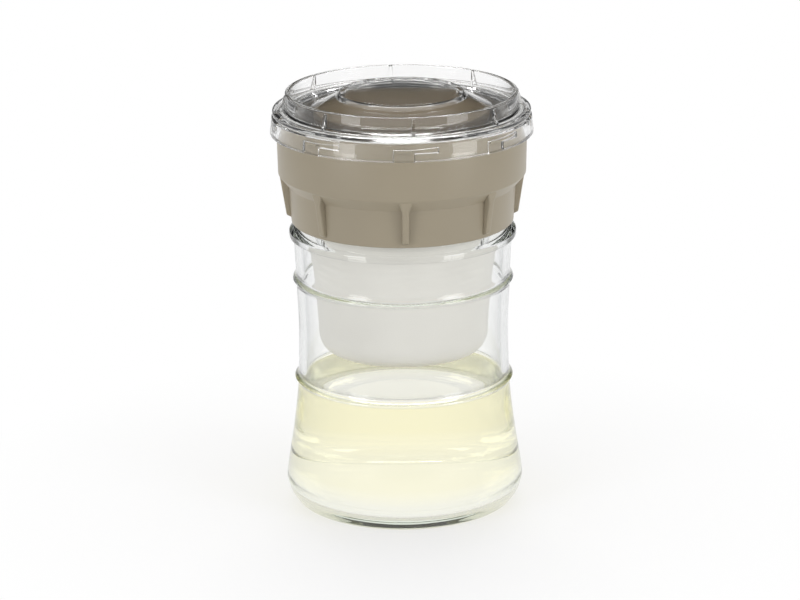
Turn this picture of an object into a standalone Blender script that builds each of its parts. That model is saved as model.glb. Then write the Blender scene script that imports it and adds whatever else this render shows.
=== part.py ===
"""A glass jar for making and draining fresh cheese, as separate solids in metres.

The jar stands on z = 0 with its axis on Z. A screw collar seals on its rim and carries a strainer: a hoop with a
mesh bag, the curd in it, and a sprung plate that presses the curd. A clear lid locks on the collar's lugs.
Run it with: blender --background --python part.py
"""

import math

import bmesh
import bpy
from mathutils import Matrix

# Shared sizes
SEAT_GAP = 0.0003  # between two pieces that touch
OVERRUN = 0.002  # how far a cutter or a joined shape runs past its face
RINGS = 8  # ribs, lugs, tracks and gussets stand at this count around the axis
TURN_STEPS = 40
MERGE = 0.0001

# Glass jar
JAR_RADIUS = 0.0503  # at the widest, just above the foot
JAR_BODY = 0.1164  # base to the underside of the bead
NECK_HEIGHT = 0.0206  # bead to the rim
JAR_WALL = 0.0030
JAR_FLOOR = 0.0050
FOOT_INSET = 0.0081  # of the foot ring inside the widest radius
FOOT_WIDTH = 0.0062
FOOT_RECESS = 0.0010
INNER_CORNER = 0.0070
BEAD_PROUD = 0.0018  # of the wall under it
BEAD_HEIGHT = 0.0026
SHOULDER_STEP = 0.0020  # outside the neck
SHOULDER_RISE = 0.0011
NECK_INSET = 0.0016  # inside the wall's top
BAND_PROUD = 0.0014
BAND_HALF = 0.0019
LOW_BAND_SHARE = 0.473  # of JAR_BODY
HIGH_BAND_SHARE = 0.845
# Height and radius of the wall, as shares of JAR_BODY and JAR_RADIUS
WALL_SHARES = (
    (0.013, 0.922),
    (0.046, 0.973),
    (0.085, 1.0),
    (0.116, 0.996),
    (0.174, 0.976),
    (0.288, 0.934),
    (0.431, 0.897),
    (0.581, 0.883),
    (0.673, 0.881),
    (0.786, 0.891),
    (0.900, 0.901),
    (1.0, 0.913),
)

# Whey in the jar
WHEY_SHARE = 0.4725  # of JAR_BODY

# Silicone seals: one on the jar's rim, one under the lid
SEAL_THICKNESS = 0.0012
JAR_SEAL_WIDTH = 0.0026
LID_SEAL_WIDTH = 0.0030

# Collar
COLLAR_GRIP = 0.0182  # how far it reaches down the neck
COLLAR_WEB = 0.0020
COLLAR_CUP = 0.0239  # depth of the cup above the web
COLLAR_BORE_CLEARANCE = 0.0013  # room for the screw thread
COLLAR_WALL = 0.0019
COLLAR_TAPER = 0.0009
COLLAR_FOOT_ROUND = 0.0006
CUP_FLARE = 0.0047  # outside the collar's skirt
CUP_TAPER = 0.00035
CUP_WALL = 0.0016
CUP_FOOT_RISE = 0.0006  # of the cup's outer foot above the web
CHAMFER_HEIGHT = 0.0050
SPOUT_STEP = 0.0012  # of the thinner ring that the lid's skirt goes over
SPOUT_HEIGHT = 0.0065
RIB_WIDTH = 0.0028
RIB_BEVEL = 0.0007
RIB_TOP_PROUD = 0.0037
RIB_FOOT_PROUD = 0.0018
RIB_FOOT_RISE = 0.0013
RIB_ANGLE = 1.4  # degrees from the front towards +X

# Bayonet: lugs on the collar, tracks in the lid
LUG_WIDTH = 0.0060
LUG_HEIGHT = 0.0011
LUG_PROUD = 0.0015
LUG_RISE = 0.0037  # above the collar's ledge
LUG_ANGLE = 0.8
TRACK_CLEARANCE = 0.0003
TRACK_MOUTH = 0.0086
TRACK_RUN = 0.0092
TRACK_RAMP = 0.0007
TRACK_STEP = 0.0031  # between the points that bend a track around the skirt

# Clear lid
LID_WALL = 0.0018
SKIRT_CLEARANCE = 0.0004
SKIRT_WALL = 0.0036
SKIRT_TOP_WALL = 0.0027
FLANGE_INSET = 0.0002
FLANGE_LIP = 0.0023  # height of the flange's edge above the skirt
GROOVE_INSET = 0.0025  # from the flange's edge
GROOVE_WIDTH = 0.0009
GROOVE_DEPTH = 0.0004
RING_INSET = 0.0025  # inside the collar's spout
RING_WALL = 0.0019
RING_HEIGHT = 0.0073
RING_FILLET = 0.0008
WELL_WIDTH = 0.0086  # between the ring and the cone's foot
CONE_WIDTH = 0.0105
CONE_RISE = 0.0051
PLATFORM_INSET = 0.0017
PLATFORM_STEP = 0.0020
PLATFORM_RIM = 0.0022
PLATFORM_DISH = 0.0004
GUSSET_ANGLE = 5.4
GUSSET_WIDTH = 0.0010
GUSSET_REACH = 0.0019
GUSSET_HEIGHT = 0.0042

# Strainer hoop
HOOP_CLEARANCE = 0.0009  # in the collar's cup
HOOP_FLANGE = 0.0020
HOOP_WALL = 0.0018
HOOP_RIM_INSET = 0.0019
HOOP_RIM_HEIGHT = 0.0035
SLEEVE_CLEARANCE = 0.0013  # in the jar's neck
SLEEVE_DEPTH = 0.0177
SPIGOT_STEP = 0.0028
SPIGOT_DEPTH = 0.0190

# Mesh bag and curd
BAG_WALL = 0.0012
BAG_CLEARANCE = 0.0112  # of the bag over the whey
BAG_CORNER = 0.0080
# Height and radius of the bag's side, as shares of its height and its top radius
BAG_SHARES = ((1.0, 1.0), (0.69, 1.0), (0.62, 0.966), (0.40, 0.940), (0.20, 0.912))

# Press: plate, spring and cap
PLATE_THICKNESS = 0.0025
PLATE_CLEARANCE = 0.0008
PLATE_HOLE = 0.0020
PLATE_INNER_SHARE = 0.245  # of the plate's radius
PLATE_OUTER_SHARE = 0.75
PLATE_INNER_HOLES = 6
PLATE_OUTER_HOLES = 12
SPRING_RADIUS = 0.0160
SPRING_WIRE = 0.0009
SPRING_CURLS = 8
SPRING_CURL_POINTS = 10
SPRING_END_PITCH = 0.0026
SPRING_CLEARANCE = 0.0009
LOCATOR_WALL = 0.0016
LOCATOR_HEIGHT = 0.0040
CAP_WALL = 0.0018
CAP_DISC_INSET = 0.0031
CAP_EDGE = 0.0008
CAP_FOOT_CLEARANCE = 0.0008  # inside the hoop's rim
CAP_FOOT_HEIGHT = 0.0018

# Heights that follow from the sizes above, from the jar's rim upwards
JAR_HEIGHT = JAR_BODY + BEAD_HEIGHT + NECK_HEIGHT
WHEY_LEVEL = JAR_BODY * WHEY_SHARE
JAR_SEAL_Z = JAR_HEIGHT + SEAT_GAP
WEB_Z = JAR_SEAL_Z + SEAL_THICKNESS + SEAT_GAP
CUP_Z = WEB_Z + COLLAR_WEB
COLLAR_Z = WEB_Z - COLLAR_GRIP
COLLAR_TOP_Z = CUP_Z + COLLAR_CUP
LEDGE_Z = COLLAR_TOP_Z - SPOUT_HEIGHT
LUG_Z = LEDGE_Z + LUG_RISE
SKIRT_Z = LEDGE_Z + SEAT_GAP
LID_SEAL_Z = COLLAR_TOP_Z + SEAT_GAP
FLANGE_UNDER_Z = LID_SEAL_Z + SEAL_THICKNESS + SEAT_GAP
FLANGE_Z = FLANGE_UNDER_Z + LID_WALL
HOOP_Z = CUP_Z + SEAT_GAP
CAP_Z = HOOP_Z + HOOP_FLANGE + SEAT_GAP
STEP_Z = HOOP_Z + HOOP_FLANGE - SLEEVE_DEPTH
SPIGOT_Z = STEP_Z - SPIGOT_DEPTH
BAG_TOP_Z = STEP_Z - HOOP_WALL - SEAT_GAP
BAG_Z = WHEY_LEVEL + BAG_CLEARANCE
BAG_HEIGHT = BAG_TOP_Z - BAG_Z
CONE_SLOPE = CONE_RISE / CONE_WIDTH
PLATFORM_Z = FLANGE_Z + CONE_RISE + PLATFORM_STEP

# Radii that follow from their neighbours, from the jar outwards and then back in
FOOT_RADIUS = JAR_RADIUS - FOOT_INSET
WALL_TOP_RADIUS = JAR_RADIUS * WALL_SHARES[-1][1]
BEAD_RADIUS = WALL_TOP_RADIUS + BEAD_PROUD
NECK_RADIUS = WALL_TOP_RADIUS - NECK_INSET
SHOULDER_RADIUS = NECK_RADIUS + SHOULDER_STEP
COLLAR_BORE = NECK_RADIUS + COLLAR_BORE_CLEARANCE
COLLAR_RADIUS = COLLAR_BORE + COLLAR_WALL
COLLAR_FOOT_RADIUS = COLLAR_RADIUS - COLLAR_TAPER
CUP_RADIUS = COLLAR_RADIUS + CUP_FLARE
CUP_FOOT_RADIUS = CUP_RADIUS - CUP_TAPER
SPOUT_RADIUS = CUP_RADIUS - SPOUT_STEP
CUP_BORE = SPOUT_RADIUS - CUP_WALL
SKIRT_BORE = SPOUT_RADIUS + SKIRT_CLEARANCE
SKIRT_RADIUS = SKIRT_BORE + SKIRT_WALL
SKIRT_TOP_RADIUS = SKIRT_BORE + SKIRT_TOP_WALL
FLANGE_RADIUS = SKIRT_TOP_RADIUS - FLANGE_INSET
GROOVE_RADIUS = FLANGE_RADIUS - GROOVE_INSET
RING_RADIUS = SPOUT_RADIUS - RING_INSET
CONE_FOOT_RADIUS = RING_RADIUS - RING_WALL - WELL_WIDTH
CONE_TOP_RADIUS = CONE_FOOT_RADIUS - CONE_WIDTH
PLATFORM_RADIUS = CONE_TOP_RADIUS - PLATFORM_INSET
HOOP_RADIUS = CUP_BORE - HOOP_CLEARANCE
HOOP_RIM_RADIUS = HOOP_RADIUS - HOOP_RIM_INSET
CAP_FOOT_RADIUS = HOOP_RIM_RADIUS - HOOP_WALL - CAP_FOOT_CLEARANCE
CAP_DISC_RADIUS = PLATFORM_RADIUS - CAP_DISC_INSET
SLEEVE_RADIUS = NECK_RADIUS - JAR_WALL - SLEEVE_CLEARANCE
SPIGOT_RADIUS = SLEEVE_RADIUS - SPIGOT_STEP
BAG_RADIUS = SPIGOT_RADIUS + SEAT_GAP + BAG_WALL
PLATE_RADIUS = SPIGOT_RADIUS - HOOP_WALL - PLATE_CLEARANCE
LOCATOR_RADIUS = SPRING_RADIUS - SPRING_WIRE - SPRING_CLEARANCE
PLATE_Z = SPIGOT_Z - HOOP_WALL


def clear_scene():
    """Removes whatever the file opened with."""
    for old in list(bpy.data.objects):
        bpy.data.objects.remove(old, do_unlink=True)


def new_collection(name):
    made = bpy.data.collections.new(name)
    bpy.context.scene.collection.children.link(made)
    return made


def new_material(name, colour, roughness, metallic=0.0, transmission=0.0, ior=1.5):
    material = bpy.data.materials.new(name)
    material.use_nodes = True
    shader = material.node_tree.nodes["Principled BSDF"]
    shader.inputs["Base Color"].default_value = (*colour, 1.0)
    shader.inputs["Roughness"].default_value = roughness
    shader.inputs["Metallic"].default_value = metallic
    shader.inputs["Transmission Weight"].default_value = transmission
    shader.inputs["IOR"].default_value = ior
    return material


def interpolate(table, place):
    """Reads a smooth curve through a table of (place, value) rows, with level ends."""
    rows = sorted(table)
    if place <= rows[0][0]:
        return rows[0][1]
    if place >= rows[-1][0]:
        return rows[-1][1]
    spot = max(i for i, row in enumerate(rows) if row[0] <= place)

    def slope(i):
        low, high = max(i - 1, 0), min(i + 1, len(rows) - 1)
        return (rows[high][1] - rows[low][1]) / (rows[high][0] - rows[low][0])

    (start, first), (end, last) = rows[spot], rows[spot + 1]
    span = end - start
    t = (place - start) / span
    return (
        first * (2 * t**3 - 3 * t**2 + 1)
        + slope(spot) * span * (t**3 - 2 * t**2 + t)
        + last * (3 * t**2 - 2 * t**3)
        + slope(spot + 1) * span * (t**3 - t**2)
    )


def jar_wall_radius(height):
    """Outer radius of the jar's wall at a height, without its two bands."""
    return JAR_RADIUS * interpolate(WALL_SHARES, height / JAR_BODY)


def bag_side_radius(height):
    """Outer radius of the bag's side at a height above its bottom."""
    return BAG_RADIUS * interpolate(BAG_SHARES, height / BAG_HEIGHT)


def arc(centre, radius, start, end, steps):
    """Points on an arc in the profile plane, from one angle in degrees to another."""
    angles = [math.radians(start + (end - start) * i / steps) for i in range(steps + 1)]
    return [(centre[0] + radius * math.cos(a), centre[1] + radius * math.sin(a)) for a in angles]


def shade_smooth(obj):
    obj.data.shade_smooth()
    obj.data.set_sharp_from_angle(angle=math.radians(30))


def turned(name, profile, collection, material=None, steps=TURN_STEPS):
    """A solid turned about Z from (radius, height) points that run down its outer side. A profile that starts and
    ends off the axis is closed into a ring."""
    mesh = bpy.data.meshes.new(name)
    points = [(radius, 0.0, height) for radius, height in profile]
    edges = [(i, i + 1) for i in range(len(points) - 1)]
    if profile[0][0] > 0 and profile[-1][0] > 0:
        edges.append((len(points) - 1, 0))
    mesh.from_pydata(points, edges, [])
    obj = bpy.data.objects.new(name, mesh)
    collection.objects.link(obj)
    screw = obj.modifiers.new("Turn", "SCREW")
    screw.axis = "Z"
    screw.steps = screw.render_steps = steps
    screw.use_merge_vertices = True
    screw.merge_threshold = MERGE
    screw.use_smooth_shade = True
    if material:
        mesh.materials.append(material)
    return obj


def real_mesh(obj):
    """Replaces an object's curve or modifiers by the mesh that they make, with its caps welded."""
    graph = bpy.context.evaluated_depsgraph_get()
    mesh = bpy.data.meshes.new_from_object(obj.evaluated_get(graph))
    shape = bmesh.new()
    shape.from_mesh(mesh)
    bmesh.ops.remove_doubles(shape, verts=shape.verts, dist=MERGE)
    shape.to_mesh(mesh)
    shape.free()
    made = bpy.data.objects.new(obj.name, mesh)
    made.matrix_world = obj.matrix_world
    for home in obj.users_collection:
        home.objects.link(made)
    name = obj.name
    bpy.data.objects.remove(obj, do_unlink=True)
    made.name = name
    return made


def plate_of(name, outline, thickness, collection, bevel=0.0):
    """A flat outline of (x, y) points given a thickness, centred on its plane."""
    data = bpy.data.curves.new(name, "CURVE")
    data.dimensions = "2D"
    data.fill_mode = "BOTH"
    data.extrude = thickness / 2
    spline = data.splines.new("POLY")
    spline.points.add(len(outline) - 1)
    for point, (x, y) in zip(spline.points, outline):
        point.co = (x, y, 0.0, 1.0)
    spline.use_cyclic_u = True
    obj = bpy.data.objects.new(name, data)
    collection.objects.link(obj)
    bpy.context.view_layer.update()
    obj = real_mesh(obj)
    if bevel:
        rounding = obj.modifiers.new("Round", "BEVEL")
        rounding.width = bevel
        rounding.segments = 1
        bpy.context.view_layer.update()
        obj = real_mesh(obj)
    return obj


def ring_of(shape, name, degrees, collection):
    """Copies a small mesh evenly around the axis into one helper object. The shape is drawn with x outwards from
    the axis, y around it and z up, and the first copy stands that many degrees from the front towards +X."""
    joined = bmesh.new()
    for k in range(RINGS):
        angle = math.radians(degrees - 90 + 360 * k / RINGS)
        copy = shape.data.copy()
        copy.transform(Matrix.Rotation(angle, 4, "Z") @ shape.matrix_world)
        joined.from_mesh(copy)
        bpy.data.meshes.remove(copy)
    bmesh.ops.recalc_face_normals(joined, faces=joined.faces)
    mesh = bpy.data.meshes.new(name)
    joined.to_mesh(mesh)
    joined.free()
    bpy.data.objects.remove(shape, do_unlink=True)
    obj = bpy.data.objects.new(name, mesh)
    collection.objects.link(obj)
    obj.hide_render = True
    obj.display_type = "WIRE"
    return obj


def combine(obj, other, operation):
    change = obj.modifiers.new(other.name, "BOOLEAN")
    change.operation = operation
    change.object = other


def upright(obj):
    """Turns a flat outline so that its y points up and its thickness lies around the axis."""
    obj.matrix_world = Matrix.Rotation(math.pi / 2, 4, "X")
    return obj


def facing_out(obj, radius):
    """Turns a flat outline so that its x runs around the axis, its y points up and it stands at a radius."""
    turn = Matrix(((0, 0, 1), (1, 0, 0), (0, 1, 0))).to_4x4()
    obj.matrix_world = Matrix.Translation((radius, 0.0, 0.0)) @ turn
    return obj


def wrapped(obj, radius):
    """Bends a flat outline around the axis: its x runs along the circle of that radius, its y points up, and its
    thickness lies on both sides of the circle."""
    for vertex in obj.data.vertices:
        around, up, out = vertex.co
        angle, reach = around / radius, radius + out
        vertex.co = (reach * math.cos(angle), reach * math.sin(angle), up)
    return obj


def between(start, end, step):
    """Evenly spaced points from one outline point up to, but without, the next."""
    count = max(1, round(math.dist(start, end) / step))
    return [tuple(a + (b - a) * i / count for a, b in zip(start, end)) for i in range(count)]


def band(share):
    """The outline of a rounded band that stands proud of the jar's wall, from its top down."""
    middle = JAR_BODY * share
    places = [middle + BAND_HALF * step for step in (1.0, 0.5, 0.0, -0.5, -1.0)]
    proud = [BAND_PROUD * share_up for share_up in (0.0, 0.75, 1.0, 0.75, 0.0)]
    return [(jar_wall_radius(z) + out, z) for z, out in zip(places, proud)]


def jar_outside():
    """The jar's outer side from the bead's underside down to the foot."""
    high, low = JAR_BODY * HIGH_BAND_SHARE, JAR_BODY * LOW_BAND_SHARE
    side = [(JAR_RADIUS * r, JAR_BODY * z) for z, r in reversed(WALL_SHARES)]
    clear = [p for p in side if min(abs(p[1] - high), abs(p[1] - low)) > 2 * BAND_HALF]
    return sorted(clear + band(HIGH_BAND_SHARE) + band(LOW_BAND_SHARE), key=lambda p: -p[1])


def jar_inside(gap, top):
    """The inner wall from the floor's centre up to a height, moved in by a gap."""
    floor = JAR_FLOOR + gap
    corner = INNER_CORNER
    foot = jar_wall_radius(floor + corner) - JAR_WALL - gap
    rise = [z * JAR_BODY for z, r in WALL_SHARES if floor + 2 * corner < z * JAR_BODY < top]
    wall = [(jar_wall_radius(z) - JAR_WALL - gap, z) for z in rise[::2]]
    return [(0.0, floor)] + arc((foot - corner, floor + corner), corner, -90, 0, 4) + wall


def make_glass_jar(collection, material):
    bead_top = JAR_BODY + BEAD_HEIGHT
    shoulder = bead_top + SHOULDER_RISE
    lip = JAR_WALL / 2
    inside = jar_inside(0.0, JAR_BODY) + [(NECK_RADIUS - JAR_WALL, shoulder)]
    rim = arc((NECK_RADIUS - lip, JAR_HEIGHT - lip), lip, 180, 0, 4)
    bead_round = BEAD_HEIGHT / 4
    neck = [
        (NECK_RADIUS, shoulder + SHOULDER_RISE),
        (SHOULDER_RADIUS, shoulder),
        (BEAD_RADIUS - bead_round, bead_top),
        (BEAD_RADIUS, bead_top - bead_round),
        (BEAD_RADIUS, JAR_BODY + bead_round),
    ]
    foot = [(FOOT_RADIUS, 0.0), (FOOT_RADIUS - FOOT_WIDTH, 0.0)]
    punt = [(FOOT_RADIUS - FOOT_WIDTH - FOOT_RECESS, FOOT_RECESS), (0.0, FOOT_RECESS)]
    return turned("glass_jar", inside + rim + neck + jar_outside() + foot + punt, collection, material)


def make_whey(collection, material):
    """The liquid stands free of the glass by the seat gap, with the surface drawn up a little at the wall."""
    side = jar_inside(SEAT_GAP, WHEY_LEVEL)
    edge = jar_wall_radius(WHEY_LEVEL) - JAR_WALL - SEAT_GAP
    return turned("whey", [(0.0, WHEY_LEVEL), (edge, WHEY_LEVEL)] + side[::-1], collection, material)


def make_seal(name, outer, width, bottom, collection, material):
    inner, top = outer - width, bottom + SEAL_THICKNESS
    profile = [(outer, top), (outer, bottom), (inner, bottom), (inner, top)]
    return turned(name, profile, collection, material)


def collar_profile():
    bore = COLLAR_BORE
    foot, chamfer = CUP_Z + CUP_FOOT_RISE, CUP_Z + CUP_FOOT_RISE - CHAMFER_HEIGHT
    cup_bore = CUP_BORE
    edge = COLLAR_FOOT_ROUND
    return [
        (SPOUT_RADIUS - edge, COLLAR_TOP_Z),
        (SPOUT_RADIUS, COLLAR_TOP_Z - edge),
        (SPOUT_RADIUS, LEDGE_Z),
        (CUP_RADIUS - edge, LEDGE_Z),
        (CUP_RADIUS, LEDGE_Z - edge),
        (CUP_FOOT_RADIUS, foot),
        (COLLAR_RADIUS, chamfer),
        (COLLAR_FOOT_RADIUS, COLLAR_Z + edge),
        (COLLAR_FOOT_RADIUS - edge, COLLAR_Z),
        (bore, COLLAR_Z),
        (bore, WEB_Z),
        (NECK_RADIUS - JAR_WALL, WEB_Z),
        (NECK_RADIUS - JAR_WALL, CUP_Z),
        (cup_bore, CUP_Z),
        (cup_bore, COLLAR_TOP_Z),
    ]


def make_collar(collection, cutters, material):
    obj = turned("collar", collar_profile(), collection, material)
    rib = plate_of(
        "rib",
        [
            (COLLAR_FOOT_RADIUS - COLLAR_FOOT_ROUND, COLLAR_Z + RIB_FOOT_RISE),
            (COLLAR_FOOT_RADIUS + RIB_FOOT_PROUD, COLLAR_Z + 2 * RIB_FOOT_RISE),
            (COLLAR_RADIUS + RIB_TOP_PROUD, CUP_Z - CUP_FOOT_RISE),
            (CUP_FOOT_RADIUS - CUP_FOOT_RISE, CUP_Z + CUP_FOOT_RISE),
            (COLLAR_FOOT_RADIUS - COLLAR_FOOT_ROUND, CUP_Z - CHAMFER_HEIGHT),
        ],
        RIB_WIDTH,
        cutters,
        RIB_BEVEL,
    )
    combine(obj, ring_of(upright(rib), "collar_ribs", RIB_ANGLE, cutters), "UNION")
    depth = LUG_PROUD + CUP_WALL / 2
    half, low, high = LUG_WIDTH / 2, LUG_Z, LUG_Z + LUG_HEIGHT
    lug = plate_of("lug", [(-half, low), (half, low), (half, high), (-half, high)], depth, cutters)
    facing_out(lug, SPOUT_RADIUS + LUG_PROUD - depth / 2)
    combine(obj, ring_of(lug, "collar_lugs", LUG_ANGLE, cutters), "UNION")
    return obj


def lid_top_profile():
    """The lid's upper side from its centre out to the flange's edge."""
    dish = PLATFORM_RADIUS - PLATFORM_RIM
    ring_top = FLANGE_Z + RING_HEIGHT
    bore = RING_RADIUS - RING_WALL
    edge = RING_WALL / 4
    groove = [
        (GROOVE_RADIUS - GROOVE_WIDTH / 2, FLANGE_Z),
        (GROOVE_RADIUS, FLANGE_Z - GROOVE_DEPTH),
        (GROOVE_RADIUS + GROOVE_WIDTH / 2, FLANGE_Z),
    ]
    return [
        (0.0, PLATFORM_Z - PLATFORM_DISH),
        (dish - PLATFORM_DISH, PLATFORM_Z - PLATFORM_DISH),
        (dish, PLATFORM_Z),
        (PLATFORM_RADIUS, PLATFORM_Z),
        (CONE_TOP_RADIUS, FLANGE_Z + CONE_RISE),
        (CONE_FOOT_RADIUS, FLANGE_Z),
        (bore, FLANGE_Z),
        (bore, ring_top - edge),
        (bore + edge, ring_top),
        (RING_RADIUS - edge, ring_top),
        (RING_RADIUS, ring_top - edge),
        (RING_RADIUS, FLANGE_Z + RING_FILLET),
        (RING_RADIUS + RING_FILLET, FLANGE_Z),
        *groove,
        (FLANGE_RADIUS - edge, FLANGE_Z),
        (FLANGE_RADIUS, FLANGE_Z - edge),
        (FLANGE_RADIUS, FLANGE_Z - FLANGE_LIP),
        (SKIRT_TOP_RADIUS, FLANGE_Z - FLANGE_LIP),
    ]


def lid_underside(gap):
    """The lid's inner side from the flange's underside to the centre, lowered by a gap."""
    low = FLANGE_UNDER_Z - gap
    neck = PLATFORM_RADIUS
    return [
        (CONE_FOOT_RADIUS, low),
        (neck, low + (CONE_FOOT_RADIUS - neck) * CONE_SLOPE),
        (neck - LID_WALL, PLATFORM_Z - LID_WALL - gap),
        (0.0, PLATFORM_Z - LID_WALL - gap),
    ]


def make_lid(collection, cutters, material):
    skirt = [(SKIRT_RADIUS, SKIRT_Z), (SKIRT_BORE, SKIRT_Z), (SKIRT_BORE, FLANGE_UNDER_Z)]
    obj = turned("clear_lid", lid_top_profile() + skirt + lid_underside(0.0), collection, material)
    lower = LUG_Z - TRACK_CLEARANCE
    upper = LUG_Z + LUG_HEIGHT + TRACK_CLEARANCE
    left, right = -TRACK_MOUTH / 2, TRACK_MOUTH / 2
    end = right + TRACK_RUN
    corners = [
        (left, SKIRT_Z - OVERRUN),
        (right, SKIRT_Z - OVERRUN),
        (right, lower),
        (end, lower),
        (end, upper + TRACK_RAMP),
        (right, upper),
        (left, upper),
    ]
    sides = zip(corners, corners[1:] + corners[:1])
    outline = [point for start, stop in sides for point in between(start, stop, TRACK_STEP)]
    depth = LUG_PROUD - SKIRT_CLEARANCE + TRACK_CLEARANCE
    track = plate_of("track", outline, depth + OVERRUN, cutters)
    wrapped(track, SKIRT_BORE + depth - (depth + OVERRUN) / 2)
    combine(obj, ring_of(track, "lid_tracks", LUG_ANGLE, cutters), "DIFFERENCE")
    root = RING_RADIUS - RING_WALL / 2
    reach = RING_RADIUS + GUSSET_REACH
    sunk = FLANGE_Z - LID_WALL / 2
    gusset = plate_of(
        "gusset",
        [(root, sunk), (reach, sunk), (reach, FLANGE_Z), (root, FLANGE_Z + GUSSET_HEIGHT)],
        GUSSET_WIDTH,
        cutters,
    )
    combine(obj, ring_of(upright(gusset), "lid_gussets", GUSSET_ANGLE, cutters), "UNION")
    return obj


def make_hoop(collection, material):
    """The hoop hangs in the collar by its flange. Its sleeve goes down the neck and its spigot into the bag."""
    top, bore = HOOP_Z + HOOP_FLANGE, SLEEVE_RADIUS - HOOP_WALL
    spigot_bore = SPIGOT_RADIUS - HOOP_WALL
    rim_bore = HOOP_RIM_RADIUS - HOOP_WALL
    profile = [
        (HOOP_RIM_RADIUS, top + HOOP_RIM_HEIGHT),
        (HOOP_RIM_RADIUS, top),
        (HOOP_RADIUS, top),
        (HOOP_RADIUS, HOOP_Z),
        (SLEEVE_RADIUS, HOOP_Z),
        (SLEEVE_RADIUS, STEP_Z - HOOP_WALL),
        (SPIGOT_RADIUS, STEP_Z - HOOP_WALL),
        (SPIGOT_RADIUS, SPIGOT_Z),
        (spigot_bore, SPIGOT_Z),
        (spigot_bore, STEP_Z),
        (bore, STEP_Z),
        (bore, top),
        (rim_bore, top),
        (rim_bore, top + HOOP_RIM_HEIGHT),
    ]
    return turned("strainer_hoop", profile, collection, material)


def bag_side(gap, top, bottom):
    """The bag's side and rounded bottom from a height down to the axis, moved in by a gap."""
    corner = BAG_CORNER - gap / 2
    foot = BAG_RADIUS * BAG_SHARES[-1][1] - gap
    places = [z * BAG_HEIGHT + BAG_Z for z, r in BAG_SHARES]
    side = [top] + [z for z in places if bottom + corner < z < top]
    upper = [(bag_side_radius(z - BAG_Z) - gap, z) for z in side]
    return upper + arc((foot - corner, bottom + corner), corner, 0, -90, 4) + [(0.0, bottom)]


def make_bag(collection, material):
    outside = bag_side(0.0, BAG_TOP_Z, BAG_Z)
    inside = bag_side(BAG_WALL, BAG_TOP_Z, BAG_Z + BAG_WALL)
    return turned("strainer_bag", inside[::-1] + outside, collection, material)


def make_curd(collection, material):
    top = PLATE_Z - SEAT_GAP
    side = bag_side(BAG_WALL + SEAT_GAP, top, BAG_Z + BAG_WALL + SEAT_GAP)
    return turned("curd", [(0.0, top)] + side, collection, material)


def hole_places(count, radius):
    """Where a ring of drain holes goes through the plate."""
    angles = [2 * math.pi * k / count for k in range(count)]
    middle = PLATE_Z + PLATE_THICKNESS / 2
    return [Matrix.Translation((radius * math.cos(a), radius * math.sin(a), middle)) for a in angles]


def make_plate(collection, cutters, material):
    """A disc with drain holes and a ring that keeps the spring in place."""
    top = PLATE_Z + PLATE_THICKNESS
    edge = PLATE_THICKNESS / 4
    profile = [
        (0.0, top),
        (LOCATOR_RADIUS - LOCATOR_WALL, top),
        (LOCATOR_RADIUS - LOCATOR_WALL, top + LOCATOR_HEIGHT),
        (LOCATOR_RADIUS, top + LOCATOR_HEIGHT),
        (LOCATOR_RADIUS, top),
        (PLATE_RADIUS - edge, top),
        (PLATE_RADIUS, top - edge),
        (PLATE_RADIUS, PLATE_Z + edge),
        (PLATE_RADIUS - edge, PLATE_Z),
        (0.0, PLATE_Z),
    ]
    obj = turned("press_plate", profile, collection, material)
    holes = bmesh.new()
    places = hole_places(PLATE_INNER_HOLES, PLATE_RADIUS * PLATE_INNER_SHARE)
    places += hole_places(PLATE_OUTER_HOLES, PLATE_RADIUS * PLATE_OUTER_SHARE)
    for place in places:
        bmesh.ops.create_cone(
            holes,
            cap_ends=True,
            segments=8,
            radius1=PLATE_HOLE,
            radius2=PLATE_HOLE,
            depth=PLATE_THICKNESS + OVERRUN,
            matrix=place,
        )
    mesh = bpy.data.meshes.new("plate_holes")
    holes.to_mesh(mesh)
    holes.free()
    cutter = bpy.data.objects.new("plate_holes", mesh)
    cutters.objects.link(cutter)
    cutter.hide_render = True
    cutter.display_type = "WIRE"
    combine(obj, cutter, "DIFFERENCE")
    return obj


def spring_point(place, bottom, top):
    """A point on the coil at a count of curls from its lower end. Its end curls lie close."""
    free = SPRING_CURLS - 2
    pitch = (top - bottom - 2 * SPRING_END_PITCH) / free
    low = min(place, 1.0) * SPRING_END_PITCH
    middle = min(max(place - 1.0, 0.0), free) * pitch
    high = max(place - 1.0 - free, 0.0) * SPRING_END_PITCH
    angle = 2 * math.pi * place
    return (SPRING_RADIUS * math.cos(angle), SPRING_RADIUS * math.sin(angle), bottom + low + middle + high)


def least_gap(points, apart):
    """The least distance between the surfaces of two stretches of wire that are some points apart."""
    gaps = [
        math.dist(points[i], points[j])
        for i in range(len(points))
        for j in range(i + apart, len(points))
    ]
    return min(gaps) - 2 * SPRING_WIRE


def make_spring(collection, material):
    """One unbroken coil from the plate up to the cap."""
    bottom = PLATE_Z + PLATE_THICKNESS + SEAT_GAP + SPRING_WIRE
    top = PLATFORM_Z - LID_WALL - SEAT_GAP - CAP_WALL - SEAT_GAP - SPRING_WIRE
    count = SPRING_CURLS * SPRING_CURL_POINTS
    points = [spring_point(i / SPRING_CURL_POINTS, bottom, top) for i in range(count + 1)]
    print(f"least gap in the spring: {1000 * least_gap(points, SPRING_CURL_POINTS // 2):.2f} mm")
    data = bpy.data.curves.new("press_spring", "CURVE")
    data.dimensions = "3D"
    data.bevel_depth = SPRING_WIRE
    data.bevel_resolution = 1
    data.use_fill_caps = True
    spline = data.splines.new("POLY")
    spline.points.add(len(points) - 1)
    for point, place in zip(spline.points, points):
        point.co = (*place, 1.0)
    obj = bpy.data.objects.new("press_spring", data)
    data.materials.append(material)
    collection.objects.link(obj)
    return obj


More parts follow.
